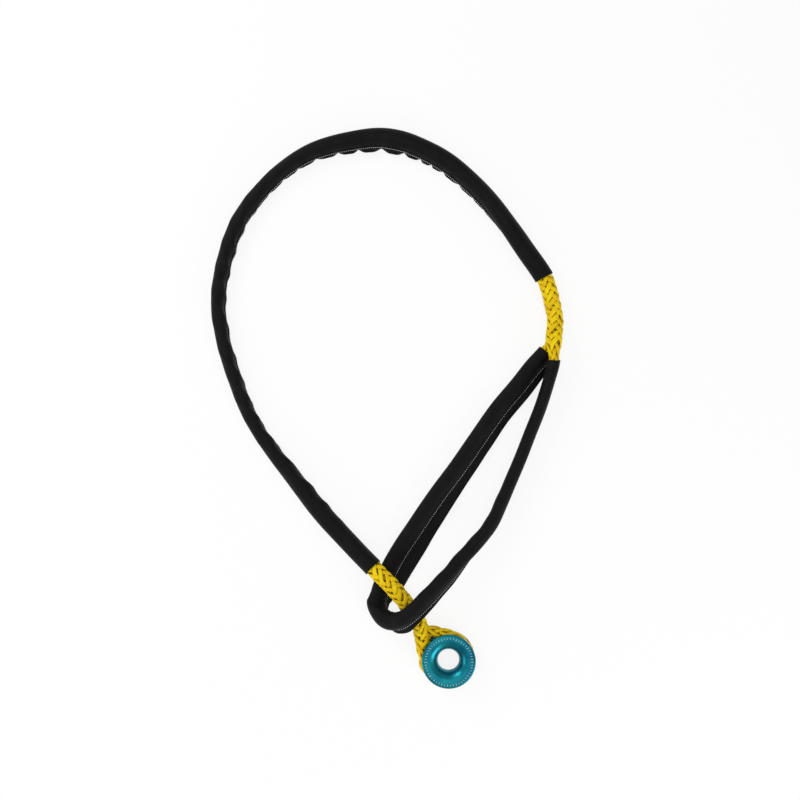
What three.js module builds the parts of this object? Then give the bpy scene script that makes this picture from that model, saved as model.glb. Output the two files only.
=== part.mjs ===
import * as THREE from 'three';

// A choked rope sling with a grooved ring, for lowering timber or towing by a soft eye.
// One hollow braided rope has an eye spliced in one end and a low friction ring spliced in the other.
// Two sewn fabric sleeves guard it, and it lies on the ground, choked through its own eye.
// Millimetres, +Z up, the ground at z = 0, the origin under the middle of the whole outline.

// Rope
const ropeDiameter = 16;
const splicedDiameter = 23;
const braidWall = 5;
const ropeFlattening = 1.25;
const ringBuryLength = 365;
const ringTaperLength = 160;
const eyeBuryLength = 560;
const eyeTaperLength = 380;
const clearance = 0.3;

// Ring
const ringOuterDiameter = 71;
const ringBoreDiameter = 28.5;
const ringThickness = 30;
const ringFaceWidth = 4.5;
const ringEdgeRadius = 2.5;
const ringGrooveDepth = 12.6;
const grooveClearance = 0.6;
const grooveFlare = 0.8;
const seatedHalfWidth = 6.3;
const seatedHalfHeight = 7.2;
const seatingAngle = 35;
const ringSegments = 48;
const trumpetSteps = 6;
const edgeSteps = 3;
const grooveSteps = 6;

// Sleeves
const fabricThickness = 1;
const bareRopeAtRing = 121;
const bareRopeAtEye = 90;
const bodySeamWidth = 5;
const bodySeamTilt = -15;
const eyeSeamWidth = 12;
const ripplePitch = 28;
const rippleShare = 0.6;
const wideMouthDistance = 21;
const narrowMouthDistance = 31;

// Threads
const seamThreadDiameter = 0.9;
const seamThreadInset = 1.4;
const lockThreadDiameter = 1.2;
const ringLockDistances = [32, 48];
const eyeLockDistances = [67.5, 45];
const ringLockBearing = 250;
const eyeLockBearing = 40;

// Where the ring lies, and where its two legs of rope close to one
const ringCentre = new THREE.Vector3(82, -337, ringThickness / 2);
const throatReach = 43;
const throatBearing = 142;
const throatLength = 18;

// Steps along the routes
const chokeStep = 16;
const chokeLength = 160;
const ripplesPerStation = 3;
const bodyStep = (ripplesPerStation * ripplePitch) / 2;
const stepsAtEyeThroat = 4;
const legStep = 40;
const bendStep = 12;
const bendShares = [0.4, 0.76];
const grooveStepAngle = 15;
const sectionSides = 12;

// The standing rope after the ring: over the lower leg of the eye, under the upper leg, round the big loop.
const standingRoute = [
  [46, -299, 15.3],
  [41.5, -286, 16.5],
  [35, -274, 19],
  [25, -260, 22.6],
  [14, -246, 26.2],
  [5, -236, 28.2],
  [-7, -224, 28.2],
  [-19, -212, 25],
  [-43, -188, 18.5],
  [-79, -151, 14],
  [-133, -85, 11.6],
  [-177, -25, 9.4],
  [-204, 37, 9.2],
  [-222, 102, 9.2],
  [-226, 141, 9.2],
  [-216, 201, 9.2],
  [-193, 256, 9.4],
  [-154, 303, 9.8],
  [-113, 334, 10.2],
  [-71, 350, 10.6],
  [-17, 359, 11],
  [14, 356, 11.3],
  [41, 347, 11.5],
  [90, 319, 12],
  [143, 266, 12.7],
  [182, 211, 12.9],
  [210, 170, 12.7],
  [217, 152, 12.2],
  [221, 134, 12.4],
  [224, 117, 14],
  [223, 103, 16],
  [222, 91, 17],
];

// The eye: down the wide leg on the ground, round under the standing rope, back over it.
const eyeRoute = [
  [222, 90.7, 10.4],
  [220, 83, 10],
  [213, 73, 8.8],
  [195, 53, 7.8],
  [175, 28, 7.8],
  [150, -2, 7.8],
  [119, -45, 7.8],
  [93, -83, 7.8],
  [66, -119, 7.8],
  [39, -159, 7.8],
  [19, -188, 7.8],
  [4, -214, 7.8],
  [-6, -236, 8],
  [-11, -251, 10.6],
  [-11, -267, 13],
  [-3, -279, 19],
  [10, -282, 28],
  [23, -276, 39],
  [34, -267, 42],
  [48, -254, 41],
  [62, -240, 37.5],
  [79, -224, 32],
  [98, -203, 27],
  [122, -177, 23],
  [139, -156, 20],
  [152, -130, 18],
  [165, -99, 18],
  [179, -66, 18],
  [192, -32, 18],
  [205, 1, 18],
  [215, 32, 19],
  [221, 58, 21],
  [221, 74, 22.6],
  [222, 90.7, 23.6],
];

// How the eye lies at a share of its length: the seam's bearing round the rope in degrees,
// how flat the rope is pressed towards the seam, and the share of the seam's width that lies free.
const eyeLieShares = [
  [0, 190, 1, 1],
  [0.25, 190, 1, 1],
  [0.38, 190, 1, 1.3],
  [0.44, 190, 1, 1.3],
  [0.455, 205, 0.5, 0.5],
  [0.465, 225, 0, 0.15],
  [0.48, 260, 0, 0.1],
  [0.495, 295, 0, 0.5],
  [0.51, 325, 0, 1],
  [0.53, 340, 0.4, 1],
  [0.6, 335, 0.9, 1],
  [0.66, 320, 1, 0.9],
  [0.7, 300, 1, 0.6],
  [0.74, 282, 1, 0.5],
  [0.88, 278, 1, 0.5],
  [0.93, 275, 1, 0.15],
  [0.97, 272, 0.4, 0.1],
  [1, 270, -1, 0.1],
];

// The share of the body sleeve's seam width that shows, at a share of the standing rope's length.
const bodySeamShares = [
  [0, 0.25],
  [0.3, 0.35],
  [0.45, 0.4],
  [0.58, 0.9],
  [0.68, 1],
  [0.8, 0.7],
  [0.88, 0.2],
  [1, 0.1],
];

const up = new THREE.Vector3(0, 0, 1);
const ropeRadius = ropeDiameter / 2;
const splicedRadius = splicedDiameter / 2;
const ringRadius = ringOuterDiameter / 2;
const grooveRadius = ropeRadius + grooveClearance;
const ringRopeRadius = ringRadius - ringGrooveDepth + grooveRadius;
const seatedRopeRadius = ringRopeRadius - ropeRadius + seatedHalfWidth;
const rad = THREE.MathUtils.degToRad;

// Reads a table of rows [share, value, ...] at a share, straight between the rows.
function readTable(table, share, column = 1) {
  const above = Math.max(1, table.findIndex((row) => row[0] >= share));
  const [low, high] = [table[above - 1], table[above]];
  return THREE.MathUtils.mapLinear(share, low[0], high[0], low[column], high[column]);
}

// A place on a route, with the directions across it: to the right of travel, and up.
function stationAt(curve, distance, along) {
  const share = distance / curve.getLength();
  const direction = along ?? curve.getTangentAt(share);
  const right = new THREE.Vector3().crossVectors(direction, up).normalize();
  const top = new THREE.Vector3().crossVectors(right, direction).normalize();
  return { point: curve.getPointAt(share), right, top, distance, share };
}

// Distances from one mark to the next, in even steps of about the given length.
function distancesBetween(from, to, step) {
  const steps = Math.max(1, Math.round((to - from) / step));
  return Array.from({ length: steps }, (_, i) => from + ((to - from) * i) / steps);
}

// The ring of points that an oval section makes round a station.
// The oval's first axis is turned from the right of travel by a bearing, and no point lies on it,
// so that a seam can leave the section there between the first point and the last.
function ovalRing(station, bearing, halfLong, halfShort) {
  const turn = rad(bearing);
  const points = Array.from({ length: sectionSides }, (_, i) => {
    const angle = ((i + 1 / 2) / sectionSides) * 2 * Math.PI;
    return sectionPoint(station, turn, halfLong * Math.cos(angle), halfShort * Math.sin(angle));
  });
  return { distance: station.distance, points };
}

function sectionPoint(station, turn, along, across) {
  const right = along * Math.cos(turn) - across * Math.sin(turn);
  const top = along * Math.sin(turn) + across * Math.cos(turn);
  return station.point.clone().addScaledVector(station.right, right).addScaledVector(station.top, top);
}

// The outside of a sewn sleeve: an oval that runs out into its flat seam.
function sleeveRing(station, bearing, halfLong, halfShort, seamWidth) {
  const turn = rad(bearing);
  const rootAngle = Math.asin((fabricThickness + clearance) / halfShort);
  const ovalPoints = sectionSides - 2;
  const oval = Array.from({ length: ovalPoints }, (_, i) => {
    const angle = rootAngle + ((2 * Math.PI - 2 * rootAngle) * i) / (ovalPoints - 1);
    return sectionPoint(station, turn, halfLong * Math.cos(angle), halfShort * Math.sin(angle));
  });
  const edge = halfLong + seamWidth;
  const edgeTop = sectionPoint(station, turn, edge, fabricThickness);
  const edgeUnder = sectionPoint(station, turn, edge, -fabricThickness);
  return { distance: station.distance, points: [edgeTop, ...oval, edgeUnder] };
}

// A thread's ring: a small square on its corner, at a place in a station's section.
function threadRing(station, turn, along, across, radius) {
  const points = [
    sectionPoint(station, turn, along + radius, across),
    sectionPoint(station, turn, along, across + radius),
    sectionPoint(station, turn, along - radius, across),
    sectionPoint(station, turn, along, across - radius),
  ];
  return { distance: station.distance, points };
}

// The closed skin over a row of rings. A loop of rings closes on itself; otherwise both ends are capped.
// A row that turns back splits its quads the other way, so that nested skins have like facets.
function skin(rings, isLoop = false) {
  const count = rings[0].points.length;
  const index = [];
  const bands = isLoop ? rings.length : rings.length - 1;
  for (let band = 0; band < bands; band++) {
    const next = (band + 1) % rings.length;
    const isReturning = rings[next].distance < rings[band].distance;
    const near = band * count;
    const far = next * count;
    for (let i = 0; i < count; i++) {
      const j = (i + 1) % count;
      if (isReturning) index.push(near + i, far + i, near + j, near + j, far + i, far + j);
      else index.push(near + i, far + i, far + j, near + i, far + j, near + j);
    }
  }
  const last = (rings.length - 1) * count;
  for (let i = 1; !isLoop && i < count - 1; i++) {
    index.push(0, i, i + 1, last, last + i + 1, last + i);
  }
  const geometry = new THREE.BufferGeometry();
  const places = rings.flatMap((ring) => ring.points.flatMap((p) => p.toArray()));
  geometry.setAttribute('position', new THREE.Float32BufferAttribute(places, 3));
  geometry.setIndex(index);
  geometry.computeVertexNormals();
  return geometry;
}

// Puts more rings between each pair, straight between their points, so that the flats stay as they are.
function subdivide(rings, times) {
  return rings.flatMap((ring, i) => {
    if (i === rings.length - 1) return [ring];
    const next = rings[i + 1];
    return Array.from({ length: times }, (_, k) => ({
      distance: THREE.MathUtils.lerp(ring.distance, next.distance, k / times),
      points: ring.points.map((p, n) => p.clone().lerp(next.points[n], k / times)),
    }));
  });
}

function piece(name, geometry, material) {
  const mesh = new THREE.Mesh(geometry, material);
  mesh.name = name;
  return mesh;
}

// The throat of the ring's splice, and the rope's direction there, away from the ring.
const throatDirection = new THREE.Vector3(Math.cos(rad(throatBearing)), Math.sin(rad(throatBearing)), 0);
const ringThroat = ringCentre.clone().addScaledVector(throatDirection, throatReach);

const standingCurve = new THREE.CatmullRomCurve3(
  [ringThroat, ...standingRoute.map((p) => new THREE.Vector3(...p))],
  false,
  'centripetal',
);
const standingLength = standingCurve.getLength();
const sleeveStart = bareRopeAtRing;
const sleeveEnd = standingLength - bareRopeAtEye;
const eyeThroatDirection = new THREE.Vector3(0, -1, 0);

const standingDistances = [
  ...distancesBetween(0, sleeveStart, chokeStep),
  ...distancesBetween(sleeveStart, chokeLength, chokeStep),
  ...distancesBetween(chokeLength, sleeveEnd, bodyStep),
  ...distancesBetween(sleeveEnd, standingLength, bareRopeAtEye / stepsAtEyeThroat),
  standingLength,
];
const standingStations = standingDistances.map((distance) => {
  if (distance === 0) return stationAt(standingCurve, distance, throatDirection);
  if (distance === standingLength) return stationAt(standingCurve, distance, eyeThroatDirection);
  return stationAt(standingCurve, distance);
});

// The standing rope is thick where it holds a tail, and thins over the tail's taper.
function standingRadius(distance) {
  const ring = THREE.MathUtils.smoothstep(ringBuryLength - distance, 0, ringTaperLength);
  const eye = THREE.MathUtils.smoothstep(eyeBuryLength - (standingLength - distance), 0, eyeTaperLength);
  return THREE.MathUtils.lerp(ropeRadius, splicedRadius, Math.max(ring, eye));
}

function standingRing(station, inset) {
  const radius = standingRadius(station.distance) - inset;
  return ovalRing(station, bodySeamTilt, radius, radius);
}

// Stations that a tail reaches from each end.
const ringTailStations = standingStations.filter((s) => s.distance < ringBuryLength);
const eyeTailStations = standingStations.filter((s) => s.distance > standingLength - eyeBuryLength);

// The braid's outside, turned in at both ends into the two hollows that hold the tails.
function standingRope() {
  const ringHollow = ringTailStations.map((s) => standingRing(s, braidWall));
  const eyeHollow = eyeTailStations.map((s) => standingRing(s, braidWall));
  const outside = standingStations.map((s) => standingRing(s, 0));
  return skin([...ringHollow.reverse(), ...outside, ...eyeHollow.reverse()]);
}

// A tail stops one station short of the hollow's end.
function ringSpliceTail() {
  return skin(ringTailStations.slice(0, -1).map((s) => standingRing(s, braidWall + clearance)));
}

function eyeSpliceTail() {
  return skin(eyeTailStations.slice(1).map((s) => standingRing(s, braidWall + clearance)));
}

// The rope round the ring: from the throat, round the groove, and back beside itself.
// It is round where it comes to the groove, and its load seats it there, flatter and deeper.
const legHalfWidth = splicedRadius / 2 - clearance;
const legHalfHeight = ropeRadius * ropeFlattening;

function ringEyeCurve() {
  const offset = splicedRadius / 2;
  const reach = throatReach - clearance;
  const across = new THREE.Vector3().crossVectors(throatDirection, up);
  const place = (along, aside) =>
    ringCentre.clone().addScaledVector(throatDirection, along).addScaledVector(across, aside);
  const contact = Math.acos(ringRopeRadius / Math.hypot(reach, offset)) + Math.atan(offset / reach);
  const turns = Math.round((2 * (Math.PI - contact)) / rad(grooveStepAngle));
  const wrapped = Array.from({ length: turns + 1 }, (_, i) => {
    const angle = contact + (2 * (Math.PI - contact) * i) / turns;
    const fromContact = Math.min(angle - contact, 2 * Math.PI - contact - angle);
    const seated = THREE.MathUtils.smoothstep(fromContact, 0, rad(seatingAngle));
    const radius = THREE.MathUtils.lerp(ringRopeRadius, seatedRopeRadius, seated);
    return place(radius * Math.cos(angle), radius * Math.sin(angle));
  });
  return new THREE.CatmullRomCurve3([place(reach, offset), ...wrapped, place(reach, -offset)]);
}

function ringEye() {
  const curve = ringEyeCurve();
  const length = curve.getLength();
  const step = ringRopeRadius * rad(grooveStepAngle);
  const distances = [...distancesBetween(0, length, step), length];
  const rings = distances.map((distance) => {
    const isStart = distance === 0;
    const isEnd = distance === length;
    const along = isStart ? throatDirection.clone().negate() : isEnd ? throatDirection : undefined;
    const pressed = 1 - THREE.MathUtils.smoothstep(Math.min(distance, length - distance), 0, throatLength);
    const station = stationAt(curve, distance, along);
    const radius = Math.min(ringRopeRadius, station.point.distanceTo(ringCentre));
    const seated = (ringRopeRadius - radius) / (ringRopeRadius - seatedRopeRadius);
    const width = THREE.MathUtils.lerp(ropeRadius, seatedHalfWidth, seated);
    const height = THREE.MathUtils.lerp(ropeRadius, seatedHalfHeight, seated);
    const halfWidth = THREE.MathUtils.lerp(width, legHalfWidth, pressed);
    return ovalRing(station, 0, halfWidth, THREE.MathUtils.lerp(height, legHalfHeight, pressed));
  });
  return skin(rings);
}

// The eye's rope, and how its section lies at each station.
const eyeCurve = new THREE.CatmullRomCurve3(
  eyeRoute.map((p) => new THREE.Vector3(...p)),
  false,
  'centripetal',
);
const eyeLength = eyeCurve.getLength();
const narrowMouth = eyeLength - narrowMouthDistance;
const eyeStations = [
  0,
  ...distancesBetween(wideMouthDistance, eyeLength * bendShares[0], legStep),
  ...distancesBetween(eyeLength * bendShares[0], eyeLength * bendShares[1], bendStep),
  ...distancesBetween(eyeLength * bendShares[1], narrowMouth, legStep),
  narrowMouth,
  eyeLength,
].map((distance) => {
  if (distance === 0) return stationAt(eyeCurve, distance, eyeThroatDirection);
  if (distance === eyeLength) return stationAt(eyeCurve, distance, eyeThroatDirection.clone().negate());
  return stationAt(eyeCurve, distance);
});
const isInEyeSleeve = (s) => s.distance >= wideMouthDistance && s.distance <= narrowMouth;
const eyeSleeveStations = eyeStations.filter(isInEyeSleeve);

function eyeLie(station) {
  const flat = ropeFlattening ** readTable(eyeLieShares, station.share, 2);
  return {
    bearing: readTable(eyeLieShares, station.share),
    halfLong: ropeRadius * flat,
    halfShort: ropeRadius / flat,
    seamWidth: eyeSeamWidth * readTable(eyeLieShares, station.share, 3),
  };
}

function eyeRope() {
  return skin(
    eyeStations.map((station) => {
      const lie = eyeLie(station);
      return ovalRing(station, lie.bearing, lie.halfLong, lie.halfShort);
    }),
  );
}

const sleeveGap = clearance;
const sleeveOutset = sleeveGap + fabricThickness;

// Fabric tubes: out along the outside, back along the inside.
function eyeSleeve() {
  const outside = eyeSleeveStations.map((station) => {
    const lie = eyeLie(station);
    const [halfLong, halfShort] = [lie.halfLong + sleeveOutset, lie.halfShort + sleeveOutset];
    return sleeveRing(station, lie.bearing, halfLong, halfShort, lie.seamWidth);
  });
  const inside = eyeSleeveStations.map((station) => {
    const lie = eyeLie(station);
    return ovalRing(station, lie.bearing, lie.halfLong + sleeveGap, lie.halfShort + sleeveGap);
  });
  return skin([...outside, ...inside.reverse()], true);
}

const isInBodySleeve = (s) => s.distance >= sleeveStart && s.distance <= sleeveEnd;
const bodySleeveStations = standingStations.filter(isInBodySleeve);

// The seam is longer than the inside of the bend, so its edge ruffles: every other ring is a crest.
function bodySleeve() {
  const outside = bodySleeveStations.map((station) => {
    const half = standingRadius(station.distance) + sleeveOutset;
    const seamWidth = bodySeamWidth * readTable(bodySeamShares, station.share);
    return sleeveRing(station, bodySeamTilt, half, half, seamWidth);
  });
  const inside = bodySleeveStations.map((station) => standingRing(station, -sleeveGap));
  const ruffled = subdivide(outside, ripplesPerStation);
  for (const { points } of ruffled.filter((_, i) => i % 2 === 0)) {
    points.at(0).lerp(points.at(1), rippleShare);
    points.at(-1).lerp(points.at(-2), rippleShare);
  }
  return skin([...ruffled, ...subdivide(inside, ripplesPerStation).reverse()], true);
}

// A thread beside the seam's root, on one face of the seam or the other.
function seamThread(stations, lieOf, face) {
  const radius = seamThreadDiameter / 2;
  const rise = fabricThickness + 2 * clearance + radius;
  return skin(
    stations.map((station) => {
      const { bearing, halfLong } = lieOf(station);
      const along = halfLong + sleeveOutset + seamThreadInset;
      return threadRing(station, rad(bearing), along, face * rise, radius);
    }),
  );
}

function bodyLie(station) {
  return { bearing: bodySeamTilt, halfLong: standingRadius(station.distance) };
}

// A lock stitch lies on the splice, past its throat, at a bearing round the rope.
function lockStitch(distances, bearing) {
  const radius = lockThreadDiameter / 2;
  return skin(
    distances.map((distance) => {
      const station = stationAt(standingCurve, distance);
      const along = standingRadius(station.distance) + clearance + radius;
      return threadRing(station, rad(bearing), along, 0, radius);
    }),
  );
}

// The ring's profile, from its bore, over the upper face, down the groove and under: [radius, height].
function ringProfile() {
  const half = ringThickness / 2;
  const boreRadius = ringBoreDiameter / 2;
  const faceOuter = ringRadius - ringEdgeRadius;
  const faceInner = faceOuter - ringFaceWidth;
  const upper = [];
  for (let i = 0; i <= trumpetSteps; i++) {
    const angle = (i / trumpetSteps) * (Math.PI / 2);
    upper.push([faceInner - (faceInner - boreRadius) * Math.cos(angle), half * Math.sin(angle)]);
  }
  for (let i = 0; i <= edgeSteps; i++) {
    const angle = (i / edgeSteps) * (Math.PI / 2);
    upper.push([
      faceOuter + ringEdgeRadius * Math.sin(angle),
      half - ringEdgeRadius + ringEdgeRadius * Math.cos(angle),
    ]);
  }
  upper.push([ringRadius, grooveRadius + grooveFlare]);
  for (let i = 0; i <= grooveSteps / 2; i++) {
    const angle = Math.PI / 2 + (i / grooveSteps) * Math.PI;
    upper.push([ringRopeRadius + grooveRadius * Math.cos(angle), grooveRadius * Math.sin(angle)]);
  }
  const lower = upper.slice(1, -1).reverse().map(([radius, height]) => [radius, -height]);
  return [...upper, ...lower, upper[0]];
}

function riggingRing() {
  const profile = ringProfile().map(([radius, height]) => new THREE.Vector2(radius, height));
  return new THREE.LatheGeometry(profile.reverse(), ringSegments).rotateX(Math.PI / 2);
}

const aluminium = new THREE.MeshStandardMaterial({ color: '#1f7f9c', roughness: 0.3, metalness: 1 });
const ropeYarn = new THREE.MeshStandardMaterial({ color: '#dcae00', roughness: 0.75, metalness: 0 });
const sleeveFabric = new THREE.MeshStandardMaterial({ color: '#17171a', roughness: 0.85, metalness: 0 });
const seamYarn = new THREE.MeshStandardMaterial({ color: '#77777c', roughness: 0.7, metalness: 0 });
const lockYarn = new THREE.MeshStandardMaterial({ color: '#e6dccb', roughness: 0.7, metalness: 0 });

const ring = piece('rigging_ring', riggingRing(), aluminium);
ring.position.copy(ringCentre);

const fromEyeThroat = (distance) => standingLength - distance;

const sling = new THREE.Group();
sling.add(
  ring,
  piece('ring_eye', ringEye(), ropeYarn),
  piece('standing_rope', standingRope(), ropeYarn),
  piece('ring_splice_tail', ringSpliceTail(), ropeYarn),
  piece('eye_splice_tail', eyeSpliceTail(), ropeYarn),
  piece('eye_rope', eyeRope(), ropeYarn),
  piece('body_sleeve', bodySleeve(), sleeveFabric),
  piece('eye_sleeve', eyeSleeve(), sleeveFabric),
  piece('body_sleeve_needle_thread', seamThread(bodySleeveStations, bodyLie, 1), seamYarn),
  piece('body_sleeve_bobbin_thread', seamThread(bodySleeveStations, bodyLie, -1), seamYarn),
  piece('eye_sleeve_needle_thread', seamThread(eyeSleeveStations, eyeLie, 1), seamYarn),
  piece('eye_sleeve_bobbin_thread', seamThread(eyeSleeveStations, eyeLie, -1), seamYarn),
  piece('eye_splice_lock_stitch', lockStitch(eyeLockDistances.map(fromEyeThroat), eyeLockBearing), lockYarn),
  piece('ring_splice_lock_stitch', lockStitch(ringLockDistances, ringLockBearing), lockYarn),
);

export default sling;
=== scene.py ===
"""The looks of the rope sling: its braid, its sewn fabric sleeves and its turned ring, in metres, +Z up."""

import math

import bmesh
import bpy
import numpy as np
from mathutils import Matrix, Vector


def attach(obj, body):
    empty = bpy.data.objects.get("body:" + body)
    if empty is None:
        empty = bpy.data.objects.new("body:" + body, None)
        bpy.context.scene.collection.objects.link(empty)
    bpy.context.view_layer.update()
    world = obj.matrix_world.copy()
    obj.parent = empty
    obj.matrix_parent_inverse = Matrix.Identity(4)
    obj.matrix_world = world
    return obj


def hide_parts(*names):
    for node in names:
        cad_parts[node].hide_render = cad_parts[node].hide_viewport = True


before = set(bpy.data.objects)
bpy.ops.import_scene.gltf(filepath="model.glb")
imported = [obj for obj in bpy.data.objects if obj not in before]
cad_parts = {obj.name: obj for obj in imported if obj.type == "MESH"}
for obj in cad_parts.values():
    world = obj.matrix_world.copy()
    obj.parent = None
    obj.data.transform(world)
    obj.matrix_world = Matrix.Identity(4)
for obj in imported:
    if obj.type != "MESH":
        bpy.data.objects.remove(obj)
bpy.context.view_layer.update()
scene = bpy.context.scene
MM = 0.001
TURN = 2 * math.pi
UP = np.array([0.0, 0.0, 1.0])

# Rope
ROPE_RADIUS = 8 * MM
SPLICED_RADIUS = 11.5 * MM
STRAND_AREA = 13.4 * MM * MM
OPEN_PITCH = 66 * MM
CLOSED_PITCH = 104 * MM
STRANDS_EACH_WAY = 6
STRAND_HALF_THICKNESS = 2.5 * MM
STRAND_FILL = 0.78
SECTION_FILL = 0.88
STRAND_UV_STEP = 0.37
BRAID_WALL = 5 * MM
FLATTENING = 1.25

# Splices: how far each tail is buried, and the length of its taper
RING_BURY, RING_TAPER = 365 * MM, 160 * MM
EYE_BURY, EYE_TAPER = 560 * MM, 380 * MM
RING_TAIL_INSET, EYE_TAIL_INSET = 22 * MM, 14 * MM
TAIL_POINT = 40 * MM
LOCK_THREAD_RADIUS = 0.6 * MM
EYE_LOCKS, EYE_LOCK_BEARING = (26 * MM, 37 * MM), math.radians(10)
RING_LOCKS, RING_LOCK_BEARING = (30 * MM, 41 * MM), math.radians(250)

# Steps along a rope where it lies open and where a sleeve hides it, and how far a sleeve presses it
OPEN_STEP, HIDDEN_STEP = 1.8 * MM, 7 * MM
INTO_SLEEVE = 12 * MM
PRESSED_OUTSIDE, PRESSED_INSIDE = 20 * MM, 10 * MM

# Ring
RING_CENTRE = np.array([0.082, -0.337, 0.015])
RING_RADIUS = 35.5 * MM
BORE_RADIUS = 14.25 * MM
RING_HALF = 15 * MM
EDGE_RADIUS = 2.5 * MM
FACE_WIDTH = 4.5 * MM
GROOVE_RADIUS = 8.6 * MM
GROOVE_FLARE = 0.8 * MM
RING_FACETS = 160
TICKS, TICKS_PER_LONG = 50, 5
TICK_LENGTH, TICK_WIDTH, TICK_RISE = 2.2 * MM, 0.6 * MM, 0.12 * MM
ROPE_LINE_RADIUS = 31.5 * MM
THROAT_REACH = 43 * MM
THROAT_BEARING = math.radians(142)
SEATED_HALF_WIDTH, SEATED_HALF_HEIGHT = 6.3 * MM, 7.2 * MM
SEATED_LINE_RADIUS = ROPE_LINE_RADIUS - ROPE_RADIUS + SEATED_HALF_WIDTH
SEATING_ANGLE = math.radians(35)

# Sleeves
FABRIC = 0.8 * MM
SLEEVE_GAP = 0.4 * MM
BARE_AT_RING, BARE_AT_EYE = 121 * MM, 82 * MM
WIDE_MOUTH, NARROW_MOUTH = 21 * MM, 31 * MM
BODY_SEAM = 5 * MM
EYE_SEAM = 12 * MM
LOBE_PITCH = 28 * MM
CREASE_PITCH = 36 * MM
STITCH_PITCH = 3 * MM
STITCH_LENGTH = 1.7 * MM
STITCH_THICKNESS = 1 * MM
STITCH_INSET = 2.2 * MM

# Folds of the sleeves, as heights and lengths in mm
LOBE_BASE, LOBE_RISE = 0.7, 0.9
CREASE_RISE, CREASE_SLANT = 1.7, 0.42
FOLD_RISE, FOLD_BACK, FOLD_FRONT = 2.4, 16, 1.5
WRINKLE_RISE, WRINKLE_PITCH = 0.9, 8
LEG_WAVE_RISE, LEG_WAVE_PITCH = 0.8, 33
BODY_WAVE_RISE, EYE_WAVE_RISE = 0.35, 0.3

# Studio
FLOOR_GLOW = 0.85
FLOOR_GREY = 0.93

# Camera: straight above the sling, as the photo was taken
camera_data = bpy.data.cameras.new("camera")
camera_data.lens = 43.9
camera_data.sensor_width = 36
camera = bpy.data.objects.new("camera", camera_data)
camera.location = (0.0177, 0.0077, 1.312)
scene.collection.objects.link(camera)
scene.camera = camera

# The standing rope from the ring's throat: over the eye's lower leg, under its upper leg, round the loop.
STANDING_ROUTE = [
    [0.046, -0.299, 0.0153], [0.0415, -0.286, 0.0165], [0.035, -0.274, 0.019], [0.025, -0.260, 0.0226],
    [0.014, -0.246, 0.0262], [0.005, -0.236, 0.0282], [-0.007, -0.224, 0.0282], [-0.019, -0.212, 0.025],
    [-0.043, -0.188, 0.0185],
    [-0.079, -0.151, 0.014], [-0.133, -0.085, 0.0116], [-0.177, -0.025, 0.0094], [-0.204, 0.037, 0.0092],
    [-0.222, 0.102, 0.0092], [-0.226, 0.141, 0.0092], [-0.216, 0.201, 0.0092], [-0.193, 0.256, 0.0094],
    [-0.154, 0.303, 0.0098], [-0.113, 0.334, 0.0102], [-0.071, 0.350, 0.0106], [-0.017, 0.359, 0.011],
    [0.014, 0.356, 0.0113], [0.041, 0.347, 0.0115], [0.090, 0.319, 0.012], [0.143, 0.266, 0.0127],
    [0.182, 0.211, 0.0129], [0.210, 0.170, 0.0127], [0.217, 0.152, 0.0122], [0.221, 0.134, 0.0124],
    [0.224, 0.117, 0.014], [0.223, 0.103, 0.016], [0.222, 0.091, 0.017],
]

# The ring eye's free leg, from the splice to the top of the groove
RING_LEG = [[0.053, -0.2975, 0.015], [0.064, -0.3005, 0.015], [0.075, -0.3025, 0.015]]

# The eye, from inside its throat: down the narrow upper leg, round the bend, back up the wide lower leg.
EYE_ROUTE = [
    [0.222, 0.091, 0.017], [0.2215, 0.083, 0.0195], [0.221, 0.074, 0.0222], [0.221, 0.058, 0.021],
    [0.215, 0.032, 0.019], [0.205, 0.001, 0.018], [0.192, -0.032, 0.018], [0.179, -0.066, 0.018],
    [0.165, -0.099, 0.018], [0.152, -0.130, 0.018], [0.139, -0.156, 0.020], [0.122, -0.177, 0.023],
    [0.098, -0.203, 0.027], [0.079, -0.224, 0.032], [0.062, -0.240, 0.0375], [0.048, -0.254, 0.041],
    [0.034, -0.267, 0.042], [0.023, -0.276, 0.039], [0.010, -0.282, 0.028], [-0.003, -0.279, 0.019],
    [-0.011, -0.267, 0.013], [-0.011, -0.251, 0.0106], [-0.006, -0.236, 0.008], [0.004, -0.214, 0.0078],
    [0.019, -0.188, 0.0078], [0.039, -0.159, 0.0078], [0.066, -0.119, 0.0078], [0.093, -0.083, 0.0078],
    [0.119, -0.045, 0.0078], [0.150, -0.002, 0.0078], [0.175, 0.028, 0.0078], [0.195, 0.053, 0.0078],
    [0.213, 0.073, 0.0088], [0.220, 0.083, 0.010], [0.2225, 0.093, 0.012], [0.2235, 0.105, 0.015],
]

# How the eye lies at a share of its length from the wide leg's end: the seam's bearing round the rope
# in degrees, how flat the rope is pressed towards it, and the share of the seam's width that lies free.
EYE_LIE = np.array([
    [0, 190, 0.8, 0.9], [0.2, 190, 0.8, 1.05], [0.3, 190, 0.8, 1.45], [0.36, 190, 0.8, 1.75],
    [0.43, 190, 0.8, 1.7],
    [0.447, 195, 0.8, 1.4], [0.465, 205, 0.7, 0.9], [0.475, 225, 0.5, 0.5], [0.482, 250, 0.2, 0.5],
    [0.49, 290, 0.1, 0.6], [0.5, 335, 0.1, 0.5], [0.519, 350, 0.2, 0.9], [0.535, 352, 0.3, 0.65],
    [0.578, 350, 0.3, 0.5], [0.604, 345, 0.1, 0.45], [0.63, 333, -0.2, 0.4], [0.66, 316, -0.2, 0.35],
    [0.7, 300, 0.2, 0.35], [0.76, 286, 0.5, 0.35], [0.88, 279, 0.6, 0.35], [0.93, 275, 0.7, 0.15],
    [0.97, 272, 0.4, 0.1], [1, 270, -1, 0.1],
])

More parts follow.
